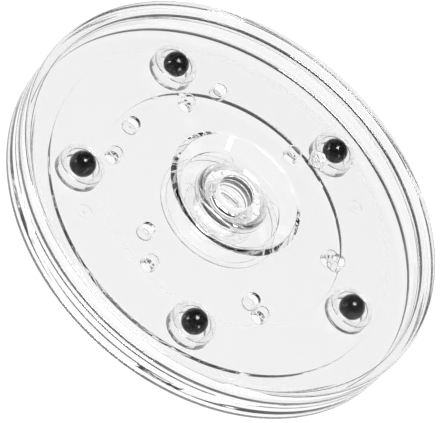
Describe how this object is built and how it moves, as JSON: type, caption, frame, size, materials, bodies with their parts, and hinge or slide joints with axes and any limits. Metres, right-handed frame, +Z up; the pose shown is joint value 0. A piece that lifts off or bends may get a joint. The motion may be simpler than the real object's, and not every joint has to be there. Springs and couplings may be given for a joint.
{
  "type": "lazy susan turntable",
  "caption": "Clear round turntable bearing: a base disc and a top disc that turn on balls in cups about a hollow central hub, with screw holes in each disc.",
  "frame": {"origin": "middle of the base disc's foot, on the turning axis", "axes": "+Z up along the turning axis, out of the top disc; +X through the first ball"},
  "size_m": [0.1524, 0.1524, 0.0155],
  "materials": {
    "clear_base": "clear moulded, polished",
    "clear_top": "clear moulded, polished",
    "clear_hub": "clear moulded, polished",
    "clear_washer": "clear moulded, polished",
    "clear_cup": "clear moulded, polished",
    "ball_black": "polished black bearing ball"
  },
  "bodies": {
    "base": {"base_disc": "clear_base", "hub_sleeve": "clear_hub", "hub_washer": "clear_washer", "retaining_ring": "clear_washer", "ball_cup_1": "clear_cup", "ball_cup_2": "clear_cup", "ball_cup_3": "clear_cup", "ball_cup_4": "clear_cup", "ball_cup_5": "clear_cup"},
    "top": {"top_disc": "clear_top"},
    "roller_1": {"ball_1": "ball_black"},
    "roller_2": {"ball_2": "ball_black"},
    "roller_3": {"ball_3": "ball_black"},
    "roller_4": {"ball_4": "ball_black"},
    "roller_5": {"ball_5": "ball_black"}
  },
  "joints": [
    {"name": "turntable_spin", "type": "hinge", "parent": "base", "child": "top", "pos_m": [0, 0, 0], "axis": [0, 0, 1], "continuous": true},
    {"name": "ball_1_roll", "type": "hinge", "parent": "base", "child": "roller_1", "pos_m": [0.0536, 0, 0.00962], "axis": [1, 0, 0], "continuous": true},
    {"name": "ball_2_roll", "type": "hinge", "parent": "base", "child": "roller_2", "pos_m": [0.01656, 0.05098, 0.00962], "axis": [0.309, 0.9511, 0], "continuous": true},
    {"name": "ball_3_roll", "type": "hinge", "parent": "base", "child": "roller_3", "pos_m": [-0.04336, 0.0315, 0.00962], "axis": [-0.809, 0.5878, 0], "continuous": true},
    {"name": "ball_4_roll", "type": "hinge", "parent": "base", "child": "roller_4", "pos_m": [-0.04336, -0.0315, 0.00962], "axis": [-0.809, -0.5878, 0], "continuous": true},
    {"name": "ball_5_roll", "type": "hinge", "parent": "base", "child": "roller_5", "pos_m": [0.01656, -0.05098, 0.00962], "axis": [0.309, -0.9511, 0], "continuous": true}
  ],
  "couplings": [
    {"joint": "ball_1_roll", "follows": "turntable_spin", "ratio": -12.28},
    {"joint": "ball_2_roll", "follows": "turntable_spin", "ratio": -12.28},
    {"joint": "ball_3_roll", "follows": "turntable_spin", "ratio": -12.28},
    {"joint": "ball_4_roll", "follows": "turntable_spin", "ratio": -12.28},
    {"joint": "ball_5_roll", "follows": "turntable_spin", "ratio": -12.28}
  ]
}
